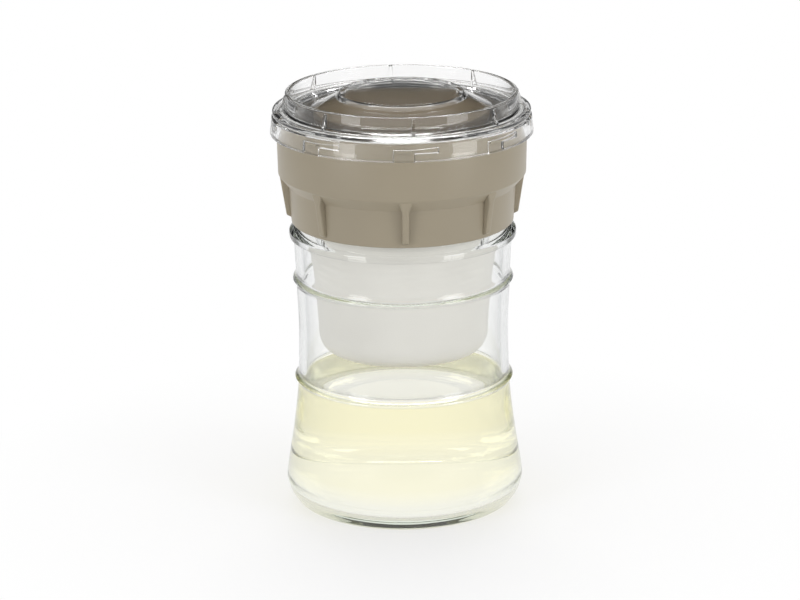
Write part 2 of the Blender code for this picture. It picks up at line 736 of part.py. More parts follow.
def make_cap(collection, material):
    """The cone-topped cap under the lid, which stands on the hoop and holds the spring's upper end."""
    under = lid_underside(SEAT_GAP)
    crown = under[-1][1]
    slope_start = PLATFORM_RADIUS - CAP_EDGE
    slope_z = under[1][1] + CAP_EDGE * CONE_SLOPE
    skirt = CONE_FOOT_RADIUS
    bore = skirt - CAP_WALL
    roof = crown - CAP_WALL
    foot_top = CAP_Z + CAP_FOOT_HEIGHT
    profile = [
        (0.0, crown),
        (CAP_DISC_RADIUS, crown),
        (slope_start, slope_z),
        (skirt, under[0][1]),
        (skirt, foot_top),
        (CAP_FOOT_RADIUS, foot_top),
        (CAP_FOOT_RADIUS, CAP_Z),
        (bore, CAP_Z),
        (bore, under[0][1] - CAP_WALL),
        (slope_start, slope_z - CAP_WALL),
        (CAP_DISC_RADIUS, roof),
        (LOCATOR_RADIUS, roof),
        (LOCATOR_RADIUS, roof - LOCATOR_HEIGHT),
        (LOCATOR_RADIUS - LOCATOR_WALL, roof - LOCATOR_HEIGHT),
        (LOCATOR_RADIUS - LOCATOR_WALL, roof),
        (0.0, roof),
    ]
    return turned("press_cap", profile, collection, material)


def main():
    clear_scene()
    parts = new_collection("cheese_making_jar")
    cutters = new_collection("cutters")
    glass = new_material("clear_glass", (0.93, 0.96, 0.94), 0.02, transmission=1.0, ior=1.52)
    clear = new_material("clear_plastic", (0.95, 0.96, 0.96), 0.04, transmission=1.0, ior=1.49)
    taupe = new_material("taupe_plastic", (0.30, 0.265, 0.20), 0.38)
    silicone = new_material("silicone", (0.78, 0.78, 0.76), 0.55)
    mesh_cloth = new_material("strainer_mesh", (0.66, 0.64, 0.57), 0.85)
    cheese = new_material("curd_white", (0.86, 0.83, 0.74), 0.7)
    steel = new_material("spring_steel", (0.62, 0.62, 0.60), 0.25, metallic=1.0)
    liquid = new_material("whey", (0.93, 0.87, 0.62), 0.05, transmission=0.7, ior=1.34)

    make_glass_jar(parts, glass)
    make_whey(parts, liquid)
    neck_seat = NECK_RADIUS - SEAT_GAP
    make_seal("jar_seal", neck_seat, JAR_SEAL_WIDTH, JAR_SEAL_Z, parts, silicone)
    make_collar(parts, cutters, taupe)
    make_hoop(parts, taupe)
    make_bag(parts, mesh_cloth)
    make_curd(parts, cheese)
    make_plate(parts, cutters, taupe)
    make_spring(parts, steel)
    make_cap(parts, taupe)
    make_seal("lid_seal", SPOUT_RADIUS - SEAT_GAP, LID_SEAL_WIDTH, LID_SEAL_Z, parts, silicone)
    make_lid(parts, cutters, clear)


main()
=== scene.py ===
# %% [markdown]
# # A cheese making jar
#
# A glass jar with a waist stands in soft studio light. A taupe collar is screwed on its neck, a mesh bag full of curd
# hangs from the collar, the whey that has drained from it stands in the jar, and a clear lid closes the top over the
# press. The shapes were built as plain solids first. This lesson loads those solids as a frame, lays a finer surface
# over each one that shows, and gives every piece its finish.

# %% Load the frame
import math

import bmesh
import bpy
from mathutils import Matrix, Vector, noise


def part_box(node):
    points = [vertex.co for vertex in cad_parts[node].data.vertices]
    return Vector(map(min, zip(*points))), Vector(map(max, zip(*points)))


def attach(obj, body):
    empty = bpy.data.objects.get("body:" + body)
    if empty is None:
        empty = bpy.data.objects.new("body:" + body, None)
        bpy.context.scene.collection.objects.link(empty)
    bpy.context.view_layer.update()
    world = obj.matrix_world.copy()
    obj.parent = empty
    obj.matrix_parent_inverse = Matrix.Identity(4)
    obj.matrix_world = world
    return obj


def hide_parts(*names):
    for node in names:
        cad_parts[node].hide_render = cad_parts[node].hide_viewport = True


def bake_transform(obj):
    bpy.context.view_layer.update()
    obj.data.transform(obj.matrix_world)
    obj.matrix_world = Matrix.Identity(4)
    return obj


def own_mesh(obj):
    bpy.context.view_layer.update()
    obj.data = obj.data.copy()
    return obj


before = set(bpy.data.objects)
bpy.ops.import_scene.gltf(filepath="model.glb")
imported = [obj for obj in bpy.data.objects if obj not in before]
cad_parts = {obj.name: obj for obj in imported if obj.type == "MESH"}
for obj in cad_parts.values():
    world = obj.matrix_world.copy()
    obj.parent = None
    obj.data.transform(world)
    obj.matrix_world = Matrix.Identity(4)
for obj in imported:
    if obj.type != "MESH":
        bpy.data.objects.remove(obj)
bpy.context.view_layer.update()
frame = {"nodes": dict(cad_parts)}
MM = 0.001
print("nodes:", ", ".join(frame["nodes"]))

# %% [markdown]
# ## A small language for materials
#
# A material in Blender is a graph of nodes. Drawn by hand it is a web of wires; written with `links.new` it is long
# and hard to read. A small class that holds one socket and knows `+`, `-`, `*` and so on lets the graph be written as
# plain sums: `rough = 0.3 + 0.1 * grain` makes the two Math nodes by itself.

# %% Sockets that can be added and multiplied
class Value:
    """One output of a node, in the node tree that it belongs to."""

    def __init__(self, graph, socket):
        self.graph = graph
        self.socket = socket

    def also(self, name):
        """Another output of the same node."""
        return Value(self.graph, self.socket.node.outputs[name])

    def _math(self, operation, other, swap=False):
        terms = (other, self) if swap else (self, other)
        return self.graph.node("ShaderNodeMath", {"operation": operation}, *terms)

    def __add__(self, other):
        return self._math("ADD", other)

    def __sub__(self, other):
        return self._math("SUBTRACT", other)

    def __rsub__(self, other):
        return self._math("SUBTRACT", other, swap=True)

    def __mul__(self, other):
        return self._math("MULTIPLY", other)

    def __pow__(self, other):
        return self._math("POWER", other)

    def __lt__(self, other):
        return self._math("LESS_THAN", other)

    __radd__ = __add__
    __rmul__ = __mul__


print("a Value knows +, -, *, ** and <")

# %% Node trees that are written as expressions
class Graph:
    """A node tree. Each call adds one node and hands back one of its outputs."""

    def __init__(self, tree):
        self.tree = tree

    def node(self, kind, settings=None, *inputs, out=0, **named):
        """Adds a node: its settings first, then its inputs in order or by name."""
        made = self.tree.nodes.new(kind)
        for key, value in (settings or {}).items():
            if key == "stops":
                for spot, (place, colour) in enumerate(value):
                    ramp = made.color_ramp.elements
                    stop = ramp[spot] if spot < len(ramp) else ramp.new(place)
                    stop.position, stop.color = place, (*colour, 1.0)
            else:
                setattr(made, key, value)
        for spot, value in list(enumerate(inputs)) + list(named.items()):
            self.feed(made.inputs[spot.replace("_", " ") if isinstance(spot, str) else spot], value)
        return Value(self, made.outputs[out])

    def feed(self, socket, value):
        """Links a Value to a socket, or sets a plain number or colour on it."""
        if isinstance(value, Value):
            self.tree.links.new(value.socket, socket)
        elif value is not None:
            if socket.type == "RGBA" and len(value) == 3:
                value = (*value, 1.0)
            socket.default_value = value

    def mix(self, amount, low, high):
        """A colour between two colours."""
        made = self.tree.nodes.new("ShaderNodeMix")
        made.data_type = "RGBA"
        self.feed(made.inputs["Factor"], amount)
        colours = [socket for socket in made.inputs if socket.type == "RGBA"]
        self.feed(colours[0], low)
        self.feed(colours[1], high)
        return Value(self, [socket for socket in made.outputs if socket.type == "RGBA"][0])


class Paint(Graph):
    """A material under construction. `shader` is its Principled BSDF."""

    def __init__(self, name, **plain):
        self.material = bpy.data.materials.new(name)
        self.material.use_nodes = True
        super().__init__(self.material.node_tree)
        self.shader = self.tree.nodes["Principled BSDF"]
        self.output = self.tree.nodes["Material Output"]
        for key, value in plain.items():
            self.set(key.replace("_", " ").title().replace("Ior", "IOR"), value)

    def set(self, name, value):
        """Sets or feeds a socket of the shader."""
        self.feed(self.shader.inputs[name], value)

    def place(self):
        return self.node("ShaderNodeTexCoord", out="Object")

    def noise(self, scale, detail=3.0, rough=0.5, at=None):
        return self.node("ShaderNodeTexNoise", None, at or self.place(), Scale=scale, Detail=detail, Roughness=rough)

    def bump(self, height, strength, distance):
        self.set("Normal", self.node("ShaderNodeBump", None, Height=height, Strength=strength, Distance=distance))


print("materials are written with Paint")

# %% [markdown]
# ## Turned shapes
#
# Almost every piece of this jar is round: it was blown or moulded around one axis. Such a piece is drawn as half of
# its outline and turned with a Screw modifier. Real mouldings have no knife edges, so the outline is given as corners
# and each corner takes a small arc. Curved walls go through a few measured points on a smooth line.

# %% Smooth walls and rounded corners
def smooth_line(points, step):
    """A smooth curve through points, with a point about every step."""
    ends = [points[0], *points, points[-1]]
    line = []
    for before, start, end, after in zip(ends, ends[1:], ends[2:], ends[3:]):
        a, b, c, d = (Vector(p) for p in (before, start, end, after))
        count = max(1, round((c - b).length / step))
        for i in range(count):
            t = i / count
            spot = 2 * b + (c - a) * t + (2 * a - 5 * b + 4 * c - d) * t**2 + (3 * b - a - 3 * c + d) * t**3
            line.append(tuple(spot / 2))
    return line + [tuple(points[-1])]


def rounded(corners, segments=4):
    """Replaces each (x, y, radius) corner by an arc. A corner without a radius stays sharp."""
    line = []
    for spot, corner in enumerate(corners):
        here = Vector(corner[:2])
        radius = corner[2] if len(corner) > 2 else 0.0
        if not radius or spot in (0, len(corners) - 1):
            line.append(tuple(here))
            continue
        back = Vector(corners[spot - 1][:2]) - here
        ahead = Vector(corners[spot + 1][:2]) - here
        half = back.angle(ahead) / 2
        reach = min(radius / math.tan(half), 0.49 * back.length, 0.49 * ahead.length)
        start, end = here + back.normalized() * reach, here + ahead.normalized() * reach
        for i in range(segments + 1):
            t = i / segments
            line.append(tuple(start * (1 - t) ** 2 + 2 * here * t * (1 - t) + end * t**2))
    return line


print("outlines can be smooth and rounded")

# %% Turned solids
TURNS = 160  # faces around the axis


def finish_mesh(obj, angle=35):
    """Applies every modifier of an object and shades it smooth, with its real edges kept."""
    graph = bpy.context.evaluated_depsgraph_get()
    mesh = bpy.data.meshes.new_from_object(obj.evaluated_get(graph))
    obj.modifiers.clear()
    obj.data = mesh
    mesh.shade_smooth()
    mesh.set_sharp_from_angle(angle=math.radians(angle))
    return obj


def turned(name, profile, steps=TURNS):
    """A solid turned about Z from (radius, height) points in millimetres that run down its outer side."""
    mesh = bpy.data.meshes.new(name)
    points = [(r * MM, 0.0, z * MM) for r, z in profile]
    edges = [(i, i + 1) for i in range(len(points) - 1)]
    if profile[0][0] > 0 and profile[-1][0] > 0:
        edges.append((len(points) - 1, 0))
    mesh.from_pydata(points, edges, [])
    obj = bpy.data.objects.new(name, mesh)
    bpy.context.scene.collection.objects.link(obj)
    screw = obj.modifiers.new("Turn", "SCREW")
    screw.steps = screw.render_steps = steps
    screw.use_merge_vertices = True
    screw.merge_threshold = 0.00001
    bpy.context.view_layer.update()
    return finish_mesh(obj)


print(f"outlines can be turned, with {TURNS} faces around")

# %% Handing a piece to the frame
def stands_for(obj, body, paint, node):
    """Hands a finished piece to the frame: its material, its body and the solid that it stands for."""
    obj.data.materials.clear()
    obj.data.materials.append(paint.material)
    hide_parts(node)
    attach(obj, body)
    print(f"{obj.name}: {len(obj.data.polygons)} faces, rides on {body}")
    return obj


print("a finished piece is handed over by stands_for")

# %% [markdown]
# ## The glass
#
# Clear soda glass is nearly colourless across a wall and green along it: light that runs the long way through the rim
# of the wall loses red. A Volume Absorption does this. Where a wall turns away from the eye the shader's colour is
# darkened as well: painted edge shade, which stands in for the dark reflections along the edges of a clear wall. Light
# on its way to a piece inside the jar would have to find its way through every bend of the glass.
# For those rays the clear pieces let light straight through instead, dimmed by one even colour, so that the bag in the
# jar is lit as if it stood free and the jar still throws a faint shadow.

# %% Glass material
# Between these heights the wall colour and its painted edge shade come in, and over the top blend they go out again.
FOOT_BLEND = (5.0, 18.0)  # heights between which the wall colour comes in
TOP_BLEND = 1.0  # height over which it goes out again
NO_TOP = 1000.0  # higher than any piece


def clear_material(name, ior, tint, density, wall, rim, narrow, shade, top=NO_TOP):
    """A clear piece. Its thickness takes on the tint. Its wall, from above the foot to the top, lets the wall colour
    through, and where it turns away from the eye the darker rim colour: painted edge shade, which stands in for the
    dark reflections along its edges. The larger narrow is, the thinner that painted rim. Shade is the even colour that
    each of its surfaces gives to light on its way to other pieces."""
    paint = Paint(name, roughness=0.0, ior=ior, transmission_weight=1.0)
    # Painted edge shade: where the surface turns away from the eye the colour goes over into the darker rim colour.
    edge_shade_amount = paint.node("ShaderNodeLayerWeight", None, out="Facing", Blend=0.5) ** narrow
    height = paint.node("ShaderNodeSeparateXYZ", None, paint.place(), out="Z")
    low, high = FOOT_BLEND
    above_foot = paint.node("ShaderNodeMapRange", None, height, low * MM, high * MM, 0.0, 1.0)
    below_top = paint.node("ShaderNodeMapRange", None, height, (top - TOP_BLEND) * MM, top * MM, 1.0, 0.0)
    colour = paint.mix(above_foot * below_top, (1.0, 1.0, 1.0), paint.mix(edge_shade_amount, wall, rim))
    paint.set("Base Color", colour)
    shadow = paint.node("ShaderNodeLightPath", out="Is Shadow Ray")
    lets_pass = shadow + shadow.also("Is Diffuse Ray")
    tinted = paint.node("ShaderNodeBsdfTransparent", None, shade)
    surface = paint.node("ShaderNodeMixShader", None, lets_pass, Value(paint, paint.shader.outputs[0]), tinted)
    paint.feed(paint.output.inputs["Surface"], surface)
    inside = paint.node("ShaderNodeVolumeAbsorption", None, Color=tint, Density=density)
    paint.feed(paint.output.inputs["Volume"], inside)
    return paint


# The glass's grey rim colour is painted edge shade.
jar_glass = clear_material("jar_glass", 1.5, (0.55, 0.66, 0.50), 7.0,
                           (1.0, 1.0, 1.0), (0.28, 0.30, 0.33), 3.0, (0.96, 0.96, 0.96))
waves = jar_glass.noise(38.0, 1.0)
jar_glass.bump(waves, 0.10, 0.0006)
print("glass made")

# %% [markdown]
# ## The jar
#
# A blown jar with a waist, a bead under the collar and two raised bands. The wall is a smooth line through measured
# radii. Each band is a small bump added to that line. The neck carries a screw thread: a ridge that climbs one lead
# for each turn, so it can't be turned from an outline. The neck's rings of points are pushed out where the ridge runs.

# %% The jar's wall and bands
WALL = [  # outer radius and height
    (46.4, 1.5), (48.95, 5.3), (50.3, 9.9), (50.1, 13.5), (49.1, 20.3), (47.0, 33.5), (45.1, 50.2),
    (44.4, 67.6), (44.3, 78.3), (44.8, 91.5), (45.3, 104.8), (45.9, 116.4)]
BANDS = (55.1, 98.4)  # heights of the two raised bands
BAND_OUT, BAND_SPREAD = 1.45, 1.15
BAND_IN, BAND_IN_SPREAD = 0.9, 1.6  # the wall's inner side behind a band
THICK = 3.0  # of the wall
JAR_FLOOR = 5.0  # height of the jar's inner floor
CORNER = 10.0  # inner radius between floor and wall
STEP = 0.6  # between the points of the wall


def wall_radius(height):
    """Outer radius of the plain wall at a height."""
    line = smooth_line(WALL, 0.5)
    below = max((p for p in line if p[1] <= height), key=lambda p: p[1], default=line[0])
    above = min((p for p in line if p[1] >= height), key=lambda p: p[1], default=line[-1])
    span = above[1] - below[1]
    return below[0] if span < 1e-6 else below[0] + (above[0] - below[0]) * (height - below[1]) / span


def swell(height, amount, spread):
    """How far a wall stands out at the two bands."""
    return sum(amount * math.exp(-(((height - band) / spread) ** 2)) for band in BANDS)


def with_bands(line):
    """Adds the two raised bands to a wall line."""
    return [(radius + swell(height, BAND_OUT, BAND_SPREAD), height) for radius, height in line]


def inner_radius(height):
    """The inner wall. A blown wall follows its mould, so it swells a little behind each band."""
    return wall_radius(height) - THICK + swell(height, BAND_IN, BAND_IN_SPREAD)


def inner_line(gap, low, top):
    """The inner wall from the floor's centre up to a height, moved in by a gap."""
    corner = CORNER - gap
    foot = wall_radius(low + corner) - THICK - gap
    arc = [(foot - corner + corner * math.sin(a), low + corner - corner * math.cos(a))
           for a in (math.radians(90 * i / 12) for i in range(13))]
    heights = [low + corner + STEP * i for i in range(1, int((top - low - corner) / STEP))]
    return [(0.0, low), *arc, *[(inner_radius(z) - gap, z) for z in heights]]


outer = with_bands(smooth_line(WALL, STEP))[::-1]
print(f"the wall's outline has {len(outer)} points")

# %% Thread, lip and the turn
NECK = 44.3  # outer radius of the plain neck
BORE = NECK - THICK
LIP = THICK / 2  # radius of the round rim
LIP_Z = 138.1  # height of its middle
NECK_STEP = 0.35
LEAD = 6.0  # what the thread climbs in one turn
THREAD_LOW, THREAD_HIGH, THREAD_PROUD = 124.5, 137.5, 0.9
RIDGE_HALF = 0.95  # half the ridge's width
FADE = 1.5  # height over which the thread starts and ends


def thread(radius, height, angle):
    """The neck's radius with the thread's ridge on it."""
    phase = (height / LEAD - angle / (2 * math.pi)) % 1.0
    ridge = math.exp(-(((phase - 0.5) * LEAD / RIDGE_HALF) ** 4))
    fade = min(1.0, max(0.0, (height - THREAD_LOW) / FADE), max(0.0, (THREAD_HIGH - height) / FADE))
    return radius + THREAD_PROUD * ridge * fade


bead = rounded([(NECK, 121.6), (46.2, 120.3, 0.6), (47.7, 119.2, 0.9), (47.7, 116.6, 0.9), (45.9, 116.4)], 5)
neck = [(NECK, LIP_Z - 0.1 - NECK_STEP * i) for i in range(46)]
lip = [(NECK - LIP + LIP * math.cos(a), LIP_Z + LIP * math.sin(a)) for a in map(math.radians, range(180, -1, -20))]
foot = rounded([(46.4, 1.5), (44.6, 0.3, 1.2), (42.2, 0.0, 1.2), (37.0, 0.0, 2.0), (33.0, 0.2, 3.0), (0.0, 0.25)])
inside = inner_line(0.0, JAR_FLOOR, 116.0) + [(42.6, 118.0), (41.6, 121.0), (BORE, 124.0), (BORE, LIP_Z)]
jar = turned("jar", inside + lip[1:] + neck + bead[1:-1] + outer[:-1] + foot)
for vertex in jar.data.vertices:
    x, y, z = vertex.co
    radius = math.hypot(x, y) / MM
    if radius > BORE + LIP and THREAD_LOW < z / MM < THREAD_HIGH:
        angle = math.atan2(y, x)
        lifted = thread(radius, z / MM, angle) * MM
        vertex.co.x, vertex.co.y = lifted * math.cos(angle), lifted * math.sin(angle)
stands_for(jar, "jar", jar_glass, "glass_jar")

# %% [markdown]
# ## The whey
#
# Whey is a thin yellow liquid, slightly cloudy. Its body reaches a hair into the glass, so that no layer of air is
# left between them and the light goes from glass to liquid as in a real jar. The surface climbs the wall in a small
# meniscus. Most of its yellow is the colour of its wall, and a little absorption deepens it across the whole jar.

# %% Whey
LEVEL = 55.0  # height of the surface
MENISCUS = 1.4  # how far it climbs the wall
OVERLAP = 0.12  # how far the whey reaches into the glass
# The whey's dark green rim colour is painted edge shade; its pale yellow wall colour is the whey's own.
whey_paint = clear_material("whey_liquid", 1.34, (0.96, 0.88, 0.10), 1.2,
                            (0.98, 0.94, 0.70), (0.25, 0.30, 0.20), 1.2, (0.86, 0.83, 0.62), LEVEL - 0.2)
inner = inner_line(-OVERLAP, JAR_FLOOR - 0.1, LEVEL + 0.6)
edge = inner_radius(LEVEL + MENISCUS) + OVERLAP
level_line = [(0.0, LEVEL), (edge - 5.0, LEVEL), (edge - 2.0, LEVEL + 0.1), (edge - 0.8, LEVEL + 0.5),
              (edge, LEVEL + MENISCUS)]
whey = turned("whey_fill", level_line + inner[:0:-1] + [(0.0, JAR_FLOOR - 0.1)])
stands_for(whey, "jar", whey_paint, "whey")

# %% [markdown]
# ## Taupe plastic
#
# The collar and the cap under the lid are moulded in one matt plastic; the cap is drawn in a darker copy of it, as
# painted shade for the dim light under the clear lid. Moulded plastic is never one flat colour: it has a very fine
# grain from the tool, slow changes of tone, and a sheen that differs a little from place to place.

# %% Plastic material
def moulded(name, colour, roughness):
    paint = Paint(name, specular_ior_level=0.45)
    cloud = paint.noise(30.0, 2.0)
    grain = paint.noise(2600.0, 2.0, 0.6)
    paint.set("Base Color", paint.mix(cloud, tuple(0.95 * c for c in colour), tuple(1.05 * c for c in colour)))
    paint.set("Roughness", roughness - 0.05 + 0.1 * cloud)
    paint.bump(grain, 0.12, 0.00005)
    return paint


TAUPE = (0.306, 0.264, 0.190)
taupe = moulded("taupe_moulded", TAUPE, 0.36)
# The cap's darker copy of the taupe is painted shade: the dim light under the clear lid is put into its colour.
shaded_taupe = moulded("shaded_taupe_moulded", (0.150, 0.113, 0.062), 0.5)
shaded_taupe.set("Specular IOR Level", 0.15)
print("plastic made")

# %% [markdown]
# ## The collar
#
# The collar is a screw ring with a wide cup. Its outline is turned, then eight grip ribs and eight small lugs are
# joined to it with Boolean unions, because a real collar is one moulding. Each rib is thickest at the cup and thins
# out towards the foot, with softened edges.

# %% Slabs
def slab(name, outline, thickness, bevel=0.0, segments=2):
    """A flat outline of (x, y) millimetres given a thickness along z, with softened edges."""
    shape = bmesh.new()
    face = shape.faces.new([shape.verts.new((x * MM, y * MM, -thickness * MM / 2)) for x, y in outline])
    raised = bmesh.ops.extrude_face_region(shape, geom=[face])
    lifted = [v for v in raised["geom"] if isinstance(v, bmesh.types.BMVert)]
    bmesh.ops.translate(shape, verts=lifted, vec=(0, 0, thickness * MM))
    bmesh.ops.recalc_face_normals(shape, faces=shape.faces)
    if bevel:
        bmesh.ops.bevel(
            shape, geom=shape.edges, offset=bevel * MM, segments=segments, profile=0.5, affect="EDGES",
            clamp_overlap=True)
    mesh = bpy.data.meshes.new(name)
    shape.to_mesh(mesh)
    shape.free()
    return mesh


def cut_in_strips(mesh, axis, widest):
    """Cuts a slab across one axis into strips of at most that many millimetres. When the slab is bent or flared
    afterwards, every face of it stays nearly flat."""
    shape = bmesh.new()
    shape.from_mesh(mesh)
    along = [v.co[axis] for v in shape.verts]
    start, length = min(along), max(along) - min(along)
    across = Vector([float(axis == k) for k in range(3)])
    strips = math.ceil(length / (widest * MM))
    for k in range(1, strips):
        everything = shape.verts[:] + shape.edges[:] + shape.faces[:]
        middle = across * (start + length * k / strips)
        bmesh.ops.bisect_plane(shape, geom=everything, plane_co=middle, plane_no=across)
    shape.to_mesh(mesh)
    shape.free()
    return mesh


print("slabs and strips are ready")

# %% Rings of shapes and joins
UPRIGHT = Matrix.Rotation(math.pi / 2, 4, "X")
AROUND = 8  # ribs, lugs, tracks and gussets alike


def ring_of(name, mesh, degrees, place=UPRIGHT):
    """Copies a small mesh evenly around the axis as one object. x points outwards and z up. The first copy stands
    that many degrees from the front towards +X."""
    joined = bmesh.new()
    for k in range(AROUND):
        copy = mesh.copy()
        copy.transform(Matrix.Rotation(math.radians(degrees - 90 + 360 * k / AROUND), 4, "Z") @ place)
        joined.from_mesh(copy)
    bmesh.ops.recalc_face_normals(joined, faces=joined.faces)
    ready = bpy.data.meshes.new(name)
    joined.to_mesh(ready)
    joined.free()
    obj = bpy.data.objects.new(name, ready)
    bpy.context.scene.collection.objects.link(obj)
    return obj


def join(obj, other, operation="UNION"):
    """Unites a helper shape with a piece, or cuts it out, and removes the helper."""
    change = obj.modifiers.new("Join", "BOOLEAN")
    change.operation, change.object = operation, other
    bpy.context.view_layer.update()
    finish_mesh(obj)
    bpy.data.objects.remove(other, do_unlink=True)
    return obj


print(f"rings of {AROUND} shapes and joins are ready")

# %% Collar
RIB_ANGLE, LUG_ANGLE = 1.4, 0.8  # degrees from the front towards +X
FLARE_FROM, FLARE_HEIGHT = 138.0, 6.0  # where a rib spreads into the cup
collar_line = rounded([
    (50.2, 167.3), (51.0, 167.3, 0.5), (51.0, 160.8, 0.3), (52.2, 160.8, 0.6), (51.85, 144.0, 1.2), (47.5, 139.0, 1.4),
    (46.6, 123.2, 0.9), (45.6, 123.2, 0.2), (45.6, 141.4, 0.3), (41.3, 141.4, 0.2), (41.3, 143.4, 0.2),
    (49.4, 143.4, 0.6), (49.4, 167.3, 0.3), (50.2, 167.3)])
collar = turned("screw_collar", collar_line[:-1])
rib_line = [(46.0, 124.3), (48.6, 125.6), (49.6, 132.0), (50.6, 138.5), (50.9, 140.4), (51.2, 142.4), (51.3, 144.0),
            (46.0, 138.4)]
rib = cut_in_strips(slab("rib", rib_line, 2.8, 0.6, 3), 1, 0.8)
for vertex in rib.vertices:
    flare = max(0.0, (vertex.co.y / MM - FLARE_FROM) / FLARE_HEIGHT) ** 1.5
    vertex.co.z *= 1.0 + 1.3 * flare
join(collar, ring_of("ribs", rib, RIB_ANGLE))
lug = slab("lug", [(50.2, 164.5), (52.5, 164.5), (52.5, 165.6), (50.2, 165.6)], 6.0, 0.2)
join(collar, ring_of("lugs", lug, LUG_ANGLE))
stands_for(collar, "collar", taupe, "collar")

# %% [markdown]
# ## The strainer
#
# The hoop is the same taupe plastic and hangs in the collar. Below it the bag is a very fine mesh that the wet curd
# pulls smooth: it follows the spigot at the top, steps in under it, and rounds off at the bottom. A real bag is never
# a clean turned shape, so its points are moved a little by slow noise, with a few soft level creases near the top.

# %% Hoop
hoop = turned("hoop", rounded([
    (45.7, 149.2), (46.6, 149.2, 0.6), (46.6, 145.7, 0.3), (48.5, 145.7, 0.4), (48.5, 143.7, 0.4), (40.0, 143.7, 0.4),
    (40.0, 126.2, 0.6), (37.2, 126.2, 0.4), (37.2, 109.0, 0.5), (35.4, 109.0, 0.5), (35.4, 128.0, 0.4),
    (38.2, 128.0, 0.5), (38.2, 145.7, 0.5), (44.8, 145.7, 0.3), (44.8, 149.2, 0.6), (45.7, 149.2)])[:-1])
stands_for(hoop, "strainer", taupe, "strainer_hoop")

# %% Mesh cloth
cloth = Paint("strainer_cloth", roughness=0.9, sheen_weight=0.25, sheen_roughness=0.5)
warp = cloth.node("ShaderNodeTexWave", {"wave_type": "BANDS", "bands_direction": "Z"}, cloth.place(), Scale=420.0)
grain = cloth.noise(900.0, 3.0, 0.6)
blotch = cloth.noise(55.0, 4.0)
curdy = cloth.mix(blotch, (0.74, 0.725, 0.675), (0.83, 0.815, 0.76))
cloth.set("Base Color", cloth.mix(0.12 * warp, curdy, (0.55, 0.54, 0.48)))
cloth.bump(0.5 * warp + grain, 0.25, 0.00012)
print("cloth made")

# %% Bag
BAG_WALL = 1.2
HELD_FROM = 118.0  # above it the bag is stretched on the spigot
CREASE_FROM = 96.0
MOST_OUT = 0.15  # so that the bag stays clear of the jar
BAG_SIDE = [(38.7, 125.9), (38.7, 118.0), (38.65, 108.0), (37.7, 102.5), (37.2, 96.0), (36.6, 88.0), (36.0, 80.0),
            (35.4, 73.5), (33.2, 69.2), (29.0, 67.1), (20.0, 66.3), (0.0, 66.3)]
outside = smooth_line(BAG_SIDE, 0.8)
base = BAG_SIDE[-1][1]
lining = [(r - BAG_WALL, z + (BAG_WALL if r < 34 else BAG_WALL / 2 if r < 36 else 0.0))
          for r, z in outside if r > BAG_WALL]
bag = turned("mesh_bag", [(0.0, base + BAG_WALL), *lining[::-1], *outside], 192)


def bag_shift(x, y, z):
    """How far the bag's wall stands in or out of its turned line, in millimetres."""
    slow = noise.noise(Vector((x, y, z)) * 38.0) * 0.35
    height = z / MM
    crease = 0.0
    if CREASE_FROM < height < HELD_FROM:
        around = math.atan2(y, x)
        wave = math.sin(height * 1.9 + 1.6 * math.sin(2 * around) + 5 * noise.noise(Vector((x, y, 0)) * 30.0))
        crease = 0.28 * wave * max(0.0, noise.noise(Vector((x, y, z * 0.4)) * 45.0 + Vector((7, 2, 1))) + 0.25)
    return slow + crease


for vertex in bag.data.vertices:
    x, y, z = vertex.co
    radius = math.hypot(x, y)
    if radius > 1.0 * MM and z / MM < HELD_FROM:
        change = min(bag_shift(x, y, z), MOST_OUT) * MM * min(1.0, (HELD_FROM - z / MM) / 6.0)
        vertex.co.x += change * x / radius
        vertex.co.y += change * y / radius
stands_for(bag, "strainer", cloth, "strainer_bag")

# %% [markdown]
# ## The curd
#
# Inside the mesh the curd is one soft white mass with a broken surface. Only its tone shows through the bag, so a
# plain turned body with a lumpy surface is enough.

# %% Curd
CURD_BASE = 67.8
curd_paint = Paint("fresh_curd", roughness=0.6, subsurface_weight=0.15)
lumps = curd_paint.noise(140.0, 4.0)
curd_paint.set("Base Color", curd_paint.mix(lumps, (0.80, 0.77, 0.68), (0.88, 0.85, 0.77)))
curd_paint.bump(lumps, 0.5, 0.0006)
curd_line = rounded([(0.0, 106.9), (35.3, 106.9, 1.0), (35.3, 100.0, 3.0), (34.2, 84.0, 6.0), (33.0, 74.0, 4.0),
                     (31.0, 68.6, 5.0), (22.0, CURD_BASE, 2.0), (0.0, CURD_BASE)], 5)
curd = turned("curd_mass", curd_line, 96)
stands_for(curd, "strainer", curd_paint, "curd")
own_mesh(curd)

# %% [markdown]
# ## The press
#
# A plate with drain holes lies on the curd, a steel coil stands on it, and a cap with a cone-shaped top holds the
# coil down. The coil is swept again with a rounder wire. The plate and the two seals keep their solids, which have
# their real form, and only take a finish.

# %% Cap
cap = turned("cone_cap", rounded([
    (0.0, 175.9), (22.7, 175.9, 0.8), (25.0, 174.9, 0.6), (38.0, 168.8, 0.8), (38.0, 147.8, 0.8), (44.0, 147.8, 0.6),
    (44.0, 146.0, 0.5), (36.2, 146.0, 0.4), (36.2, 167.2, 0.8), (25.0, 173.1, 0.6), (22.7, 174.1, 0.4),
    (14.2, 174.1, 0.3), (14.2, 170.1, 0.3), (12.6, 170.1, 0.3), (12.6, 174.1, 0.3), (0.0, 174.1)]))
# The cap is drawn in the darker copy of the taupe, painted shade under the lid.
stands_for(cap, "strainer", shaded_taupe, "press_cap")

print("the cap lies under the lid")

# %% Steel
wire = Paint("coil_steel", metallic=1.0)
drawn = wire.noise(900.0, 2.0)
wire.set("Base Color", wire.mix(drawn, (0.50, 0.50, 0.49), (0.66, 0.66, 0.65)))
wire.set("Roughness", 0.22 + 0.14 * drawn)

print("steel made")

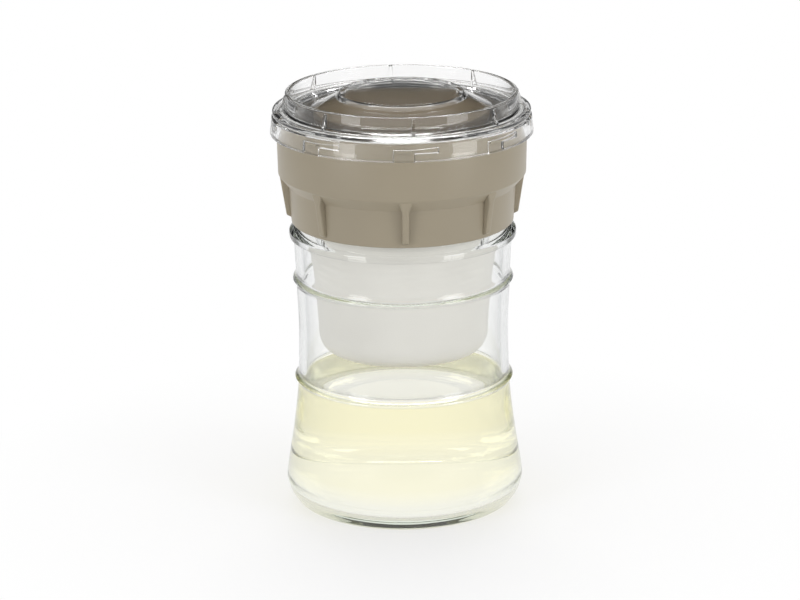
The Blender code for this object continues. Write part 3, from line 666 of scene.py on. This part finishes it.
# %% The coil's line
COIL_RADIUS, WIRE_RADIUS, CURLS, END_PITCH = 16.0, 0.9, 8, 2.6
coil_low, coil_high = (corner.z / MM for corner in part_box("press_spring"))
bottom, top = coil_low + WIRE_RADIUS, coil_high - WIRE_RADIUS
pitch = (top - bottom - 2 * END_PITCH) / (CURLS - 2)


def wire_middle(turn):
    """The middle of the wire after a count of curls. The first and the last curl climb less than the others."""
    climb = min(turn, 1.0) * END_PITCH + min(max(turn - 1.0, 0.0), CURLS - 2) * pitch
    climb += max(turn - CURLS + 1, 0.0) * END_PITCH
    angle = 2 * math.pi * turn
    return Vector((COIL_RADIUS * math.cos(angle), COIL_RADIUS * math.sin(angle), bottom + climb))


print(f"the coil has {CURLS} curls, {pitch:.1f} mm apart")

# %% Coil
PER_CURL, SIDES = 48, 12  # steps along one curl, and around the wire


def make_coil():
    """A round wire swept along the curls, with flat ends."""
    mesh = bmesh.new()
    rings = []
    around = [2 * math.pi * k / SIDES for k in range(SIDES)]
    for i in range(CURLS * PER_CURL + 1):
        angle = 2 * math.pi * i / PER_CURL
        out = Vector((math.cos(angle), math.sin(angle), 0))
        middle = wire_middle(i / PER_CURL)
        spokes = [out * math.cos(a) + Vector((0, 0, math.sin(a))) for a in around]
        rings.append([mesh.verts.new((middle + spoke * WIRE_RADIUS) * MM) for spoke in spokes])
    for here, ahead in zip(rings, rings[1:]):
        for k in range(SIDES):
            mesh.faces.new((here[k], here[(k + 1) % SIDES], ahead[(k + 1) % SIDES], ahead[k]))
    mesh.faces.new(rings[0][::-1])
    mesh.faces.new(rings[-1])
    bmesh.ops.recalc_face_normals(mesh, faces=mesh.faces)
    data = bpy.data.meshes.new("coil")
    mesh.to_mesh(data)
    mesh.free()
    obj = bpy.data.objects.new("coil", data)
    bpy.context.scene.collection.objects.link(obj)
    return finish_mesh(obj, 50)


coil = make_coil()
coil.data.materials.append(wire.material)
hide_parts("press_spring")
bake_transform(coil)
print(f"coil: {len(coil.data.polygons)} faces, stretches down with the plate")

# %% Plate and seals
rubber = Paint("pale_silicone", specular_ior_level=0.4)
dusting = rubber.noise(400.0, 3.0)
rubber.set("Base Color", rubber.mix(dusting, (0.72, 0.72, 0.70), (0.80, 0.80, 0.78)))
rubber.set("Roughness", 0.45 + 0.15 * dusting)

for node, paint in (("press_plate", taupe), ("jar_seal", rubber), ("lid_seal", rubber)):
    kept = frame["nodes"][node]
    kept.data.materials.clear()
    kept.data.materials.append(paint.material)
    print(f"{node} keeps its solid, now in {paint.material.name}")

# %% [markdown]
# ## The clear lid
#
# The lid is a clear moulding over the collar. Inside its skirt are eight tracks, each an open mouth and a level run,
# that the collar's lugs slide into. On the flange stand a ring with eight small gussets and, in the middle, a low
# cone with a flat top. The bare round field in the middle has a fine rim. Clear plastic bends light a little less
# than glass and hardly tints it.

# %% Lid plastic and the turned lid
# The lid's grey rim colour is painted edge shade.
lid_plastic = clear_material("lid_plastic", 1.47, (0.50, 0.52, 0.50), 6.0,
                             (1.0, 1.0, 1.0), (0.70, 0.70, 0.70), 5.0, (0.98, 0.98, 0.98))
lid_line = rounded([
    (0.0, 177.6), (23.2, 177.6, 0.3), (23.6, 178.0, 0.3), (25.8, 178.0, 0.7), (27.5, 176.0, 0.8), (38.0, 170.9, 1.5),
    (46.6, 170.9, 0.8), (46.6, 178.2, 0.7), (48.5, 178.2, 0.7), (48.5, 171.7, 0.5), (49.3, 170.9, 0.5),
    (50.9, 170.9, 0.2), (51.2, 170.4, 0.2), (51.8, 170.4, 0.2), (52.1, 170.9, 0.2), (53.9, 170.9, 0.6),
    (53.9, 169.5, 0.5), (53.1, 169.0, 0.3), (53.2, 168.5, 0.3), (54.2, 168.1, 0.4), (55.0, 161.1, 0.4),
    (51.4, 161.1, 0.3), (51.4, 169.1, 0.4), (38.0, 169.1, 1.5), (25.8, 175.0, 0.8), (24.0, 176.2, 0.8), (0.0, 176.2)])
lid = turned("lid_shell", lid_line)
print(f"the plain lid has {len(lid.data.polygons)} faces")

# %% Tracks and gussets
TRACK_RADIUS = 51.1  # where the middle of a track's slab is bent around the axis
GUSSET_ANGLE = 5.4


def wrap(mesh, radius):
    """Bends a slab around the axis: x runs along the circle, y up, z outwards."""
    for vertex in mesh.vertices:
        around, up, out = vertex.co
        reach = radius * MM + out
        angle = around / (radius * MM)
        vertex.co = (reach * math.cos(angle), reach * math.sin(angle), up)
    return mesh


track_line = [(-4.3, 159.0), (4.3, 159.0), (4.3, 164.1), (13.8, 164.1), (13.8, 166.6), (4.3, 165.9), (-4.3, 165.9)]
track = wrap(cut_in_strips(slab("track", track_line, 3.4, 0.4, 3), 0, 1.3), TRACK_RADIUS)
join(lid, ring_of("tracks", track, LUG_ANGLE, Matrix.Identity(4)), "DIFFERENCE")
gusset = slab("gusset", [(47.5, 170.0), (50.8, 170.0), (50.8, 171.2), (48.9, 177.4), (47.5, 177.8)], 1.5, 0.3)
join(lid, ring_of("gussets", gusset, GUSSET_ANGLE))
stands_for(lid, "cover", lid_plastic, "clear_lid")

# %% [markdown]
# ## Floor, light and camera
#
# The jar stands in a white studio. A white floor near it takes the soft shadow, and further out the floor goes over
# into plain white, so that no horizon shows. Two tall soft boxes in front draw the long upright reflections on glass
# and plastic, and a small one high behind the jar lights the tops. The world shows white to the camera and through
# clear pieces, and it shows darker walls in reflections, so that the clear edges stand out from the white.

# %% What the eye sees, straight or through clear pieces
def sight(graph):
    """Three masks: rays straight from the camera, rays that came through clear pieces, and rays that a surface near
    the eye threw back. Rays thrown back deep inside, after five clear surfaces, count as come through."""
    straight = graph.node("ShaderNodeLightPath", out="Is Camera Ray")
    fresh = straight.also("Diffuse Depth") < 0.5
    plain = straight.also("Glossy Depth") < 0.5
    shallow = straight.also("Transmission Depth") < 4.5
    through = straight.also("Is Transmission Ray") * fresh * (1.0 - (1.0 - plain) * shallow)
    mirrored = (1.0 - straight) * fresh - through
    return straight, through, mirrored


print("masks for what the eye sees are ready")

# %% Floor
FLOOR_RADIUS = 6.0  # metres
FLOOR_RISE = 0.3  # millimetres, so that the foot sits in it and no light slips in under it
NEAR, AWAY = 0.06, 0.20  # metres from the axis between which the floor goes over into plain white
NEAR_WHITE = 0.58  # share of plain white that the floor has near the jar
floor_mesh = bpy.data.meshes.new("floor")
disc = bmesh.new()
bmesh.ops.create_circle(disc, cap_ends=True, segments=64, radius=FLOOR_RADIUS)
disc.to_mesh(floor_mesh)
disc.free()
floor = bpy.data.objects.new("floor", floor_mesh)
bpy.context.scene.collection.objects.link(floor)
ground = Paint("white_floor", base_color=(0.92, 0.92, 0.92), roughness=0.9, specular_ior_level=0.0)
straight, through, mirrored = sight(ground)
distance = ground.node("ShaderNodeVectorMath", {"operation": "LENGTH"}, ground.place(), out="Value")
far = ground.node("ShaderNodeMapRange", None, distance, NEAR, AWAY, NEAR_WHITE, 1.0)
glow = ground.node("ShaderNodeEmission", None, (1.0, 1.0, 1.0), 1.0)
matt = Value(ground, ground.shader.outputs[0])
shown = ground.node("ShaderNodeMixShader", None, straight * far + through + 0.5 * mirrored, matt, glow)
ground.feed(ground.output.inputs["Surface"], shown)
floor_mesh.materials.append(ground.material)
floor.location.z = FLOOR_RISE * MM
print(f"the floor is {2 * FLOOR_RADIUS:.0f} m across")

# %% Studio
world = bpy.data.worlds.new("studio")
bpy.context.scene.world = world
world.use_nodes = True
sky = Graph(world.node_tree)
straight, through, mirrored = sight(sky)
aside = sky.node("ShaderNodeSeparateXYZ", None, sky.node("ShaderNodeTexCoord", out="Generated"), out="X")
ahead, height = aside.also("Y"), aside.also("Z")


def gradient(*stops):
    """Greys at heights of the view direction, from level (0) to straight up (1)."""
    return sky.node("ShaderNodeValToRGB", {"stops": [(at, (grey,) * 3) for at, grey in stops]}, height)


room = gradient((0.0, 0.31), (0.10, 0.19), (0.22, 0.15), (0.45, 0.21), (0.70, 0.70))
walls = gradient((0.0, 0.42), (0.08, 0.12), (0.20, 0.04), (0.60, 0.07), (0.85, 0.60))
sides = sky.node("ShaderNodeMapRange", None, aside * aside, 0.30, 0.60, 0.0, 0.8)
front = sky.node("ShaderNodeMapRange", None, ahead, -0.30, -0.80, 0.0, 0.7)
backdrop = gradient((0.0, 1.0), (0.5, 1.0), (0.8, 0.6))
seen = sky.mix(through, sky.mix(mirrored * (sides + front), walls, (1.0, 1.0, 1.0)), backdrop)
light = sky.mix(straight, sky.mix(through + mirrored, room, seen), (1.0, 1.0, 1.0))
sky.feed(sky.tree.nodes["Background"].inputs["Color"], light)
print("the studio's walls are made")

# %% Soft boxes
AIM = Vector((0, 0, 0.10))  # the point on the jar's axis that the lamps look at


def soft_box(name, azimuth, height, reach, size, power):
    """An area light that stands at an azimuth from the front towards +X and looks at the jar."""
    data = bpy.data.lights.new(name, "AREA")
    data.shape, data.size, data.size_y, data.energy = "RECTANGLE", *size, power
    obj = bpy.data.objects.new(name, data)
    bpy.context.scene.collection.objects.link(obj)
    angle = math.radians(azimuth)
    obj.location = (reach * math.sin(angle), -reach * math.cos(angle), height)
    obj.rotation_euler = (AIM - obj.location).to_track_quat("-Z", "Y").to_euler()
    print(f"{name} at {azimuth} degrees, {power} W")


soft_box("left_box", -50, 0.45, 1.1, (0.42, 1.0), 5.0)
soft_box("right_box", 55, 0.45, 1.1, (0.48, 1.0), 5.7)
soft_box("top_box", 180, 1.25, 0.9, (0.7, 0.3), 7.0)
studio = bpy.context.scene.cycles
studio.glossy_bounces = 12
studio.max_bounces = 24
studio.transmission_bounces = 24

# %% Camera
DISTANCE, HEIGHT, ASIDE = 1.3625, 0.5011, -0.0014  # metres from the jar's foot
PITCH, ROLL = 16.9, -0.54  # degrees
SENSOR = 36.0  # millimetres
FOCAL_LENGTHS = 3366 / 800  # in widths of the picture
camera_data = bpy.data.cameras.new("camera")
camera_data.sensor_width = SENSOR
camera_data.lens = FOCAL_LENGTHS * SENSOR
camera_data.clip_start = 0.01
camera = bpy.data.objects.new("camera", camera_data)
bpy.context.scene.collection.objects.link(camera)
tilt = Matrix.Rotation(math.radians(90 - PITCH), 4, "X") @ Matrix.Rotation(math.radians(ROLL), 4, "Z")
camera.matrix_world = Matrix.Translation((ASIDE, -DISTANCE, HEIGHT)) @ tilt
bpy.context.scene.camera = camera
bpy.context.scene.view_settings.view_transform = "Standard"
print(f"camera {DISTANCE} m away, {HEIGHT} m high, looking {PITCH} degrees down")
